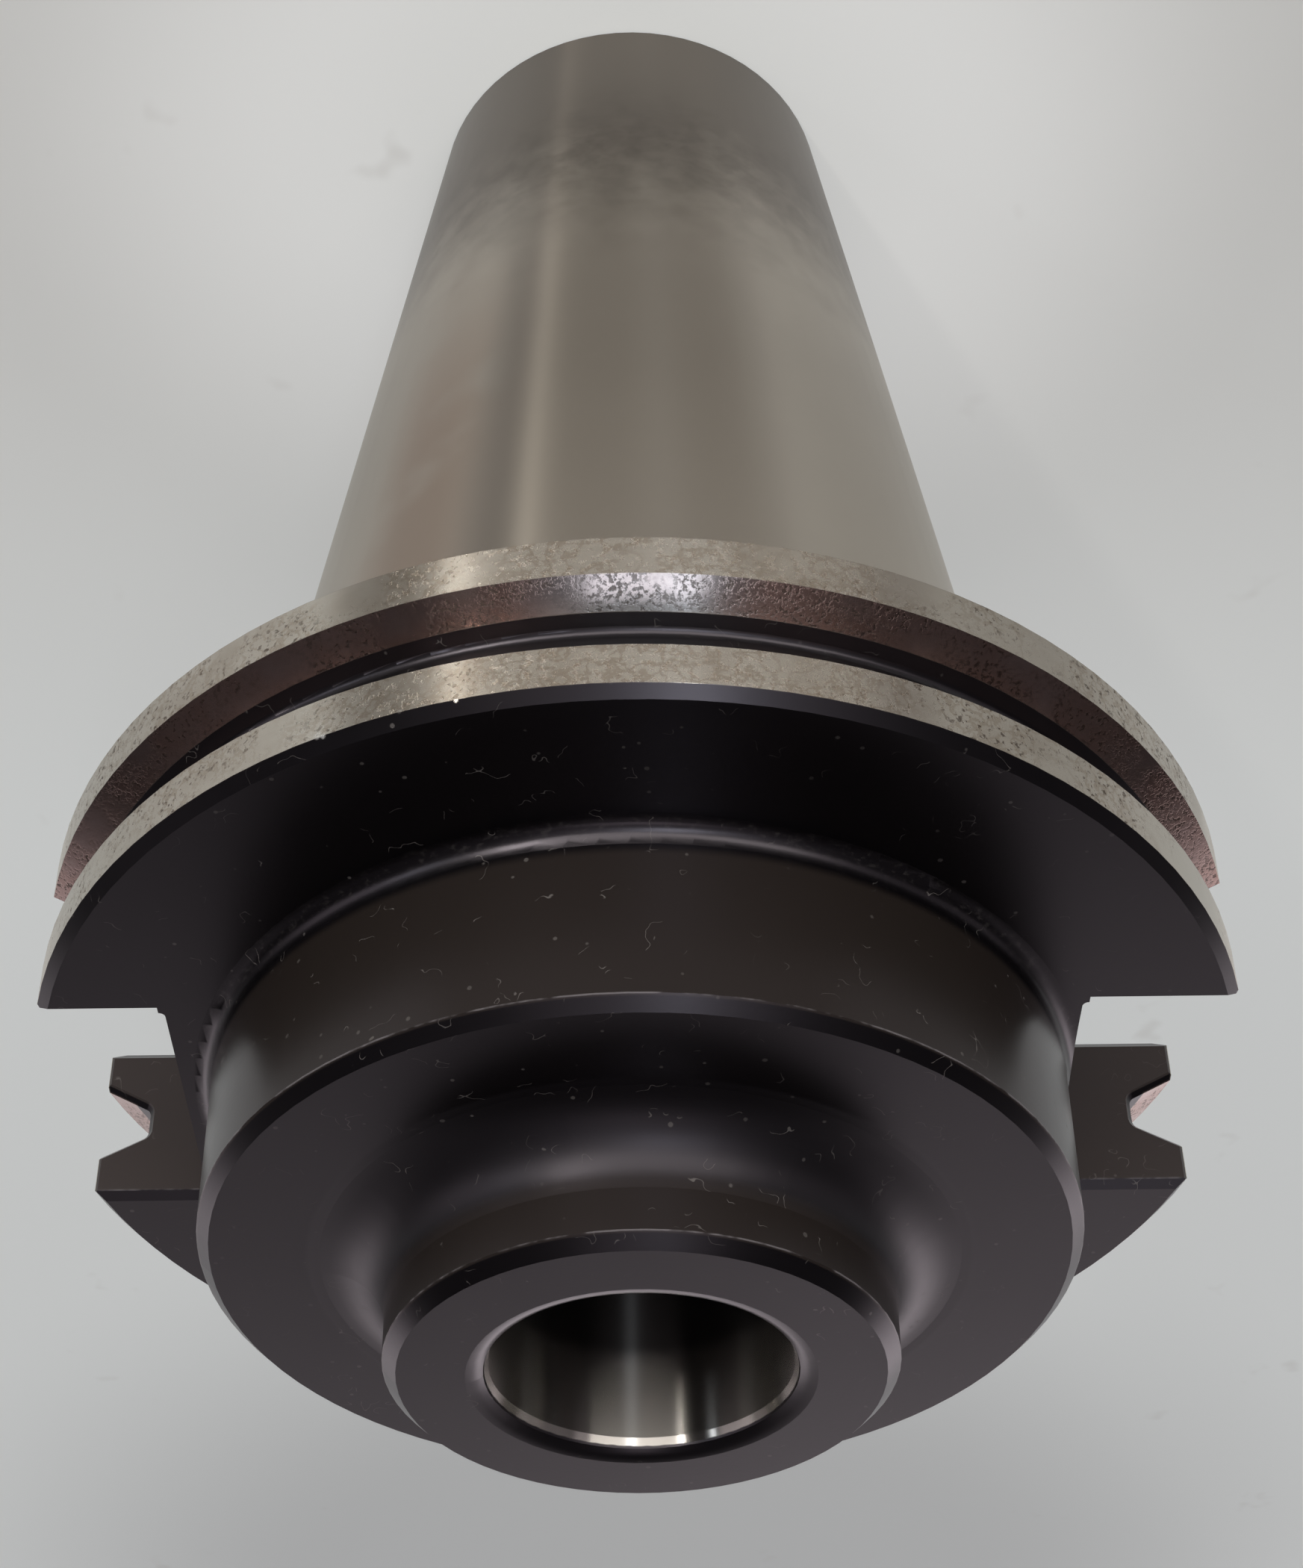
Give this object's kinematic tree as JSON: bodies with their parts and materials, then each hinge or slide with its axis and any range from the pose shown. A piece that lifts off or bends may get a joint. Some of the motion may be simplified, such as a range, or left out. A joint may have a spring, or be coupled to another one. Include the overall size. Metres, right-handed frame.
{
  "type": "morse taper adapter holder",
  "caption": "Steel tool holder with a steep-taper shank, a V-grooved drive flange and a stepped nose with a ground Morse taper socket.",
  "frame": {"origin": "centre of the shank's small end face, on the spindle axis", "axes": "+Z along the spindle axis from the small end to the nose; +X through the shallower drive slot"},
  "size_m": [0.0946, 0.0984, 0.1466],
  "materials": {
    "holder_steel": "one hardened steel body: shank taper, flange rims and socket ground bright, nose and flange front left satin black oxide"
  },
  "bodies": {
    "root": {"adapter_body": "holder_steel"}
  },
  "joints": []
}
